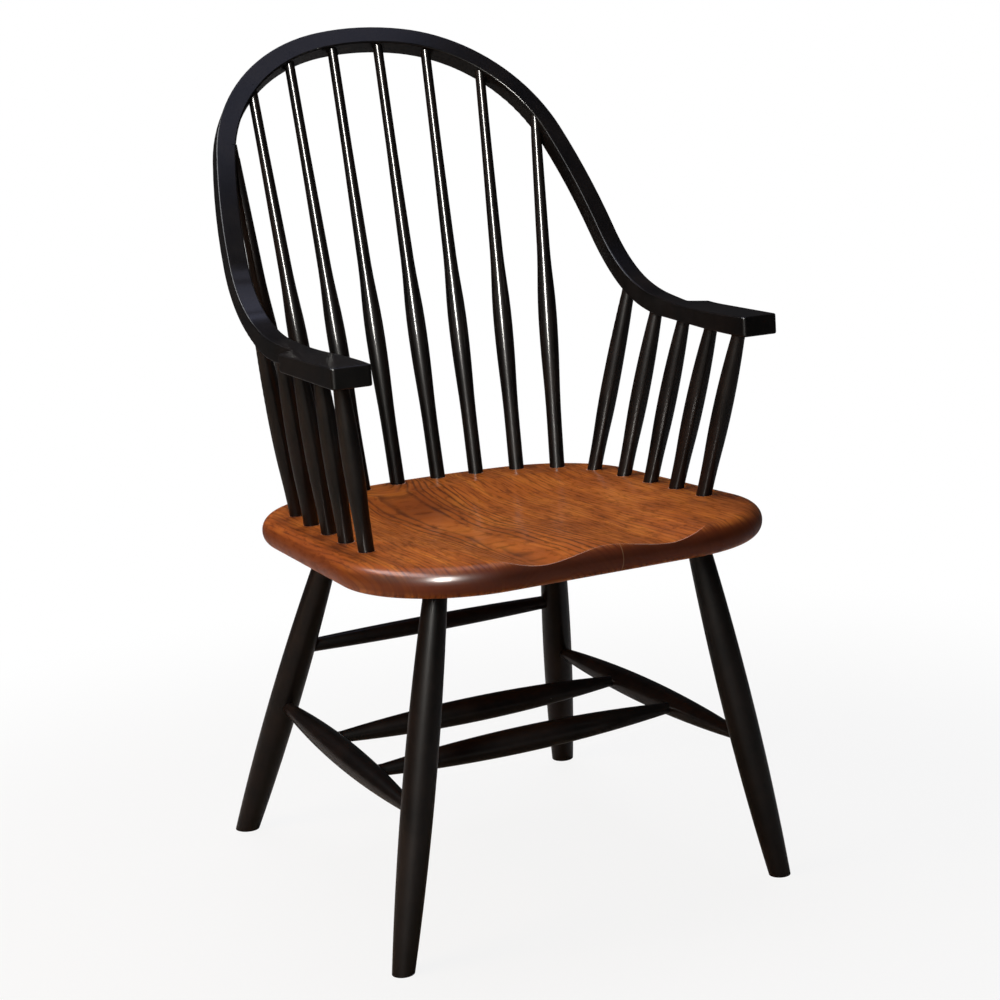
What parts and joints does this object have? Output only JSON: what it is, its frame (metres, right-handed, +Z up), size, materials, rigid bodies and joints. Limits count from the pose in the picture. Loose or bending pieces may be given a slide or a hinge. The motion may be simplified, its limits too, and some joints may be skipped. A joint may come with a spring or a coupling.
{
  "type": "windsor armchair",
  "caption": "Windsor armchair with a continuous bent bow for arms and back, turned spindles and legs, cross stretchers and a thick dished wooden seat.",
  "frame": {"origin": "on the floor, under the middle of the chair's width and depth", "axes": "+Z up, the sitter faces -Y; pieces named left are at -X, which is the left side as seen from the front"},
  "size_m": [0.5577, 0.6416, 1.0371],
  "materials": {
    "black_painted_wood": "black satin paint over turned and bent hardwood",
    "stained_wood": "orange brown stain under satin lacquer"
  },
  "bodies": {
    "root": {"back_left_leg": "black_painted_wood", "back_right_leg": "black_painted_wood", "bow": "black_painted_wood", "front_left_leg": "black_painted_wood", "front_middle_stretcher": "black_painted_wood", "front_right_leg": "black_painted_wood", "left_hand_block": "black_painted_wood", "left_long_spindle_1": "black_painted_wood", "left_long_spindle_2": "black_painted_wood", "left_long_spindle_3": "black_painted_wood", "left_long_spindle_4": "black_painted_wood", "left_short_spindle_1": "black_painted_wood", "left_short_spindle_2": "black_painted_wood", "left_short_spindle_3": "black_painted_wood", "left_short_spindle_4": "black_painted_wood", "left_short_spindle_5": "black_painted_wood", "left_side_stretcher": "black_painted_wood", "rear_middle_stretcher": "black_painted_wood", "rear_stretcher": "black_painted_wood", "right_hand_block": "black_painted_wood", "right_long_spindle_1": "black_painted_wood", "right_long_spindle_2": "black_painted_wood", "right_long_spindle_3": "black_painted_wood", "right_long_spindle_4": "black_painted_wood", "right_short_spindle_1": "black_painted_wood", "right_short_spindle_2": "black_painted_wood", "right_short_spindle_3": "black_painted_wood", "right_short_spindle_4": "black_painted_wood", "right_short_spindle_5": "black_painted_wood", "right_side_stretcher": "black_painted_wood", "seat_board_1": "stained_wood", "seat_board_2": "stained_wood", "seat_board_3": "stained_wood", "seat_board_4": "stained_wood"}
  },
  "joints": []
}
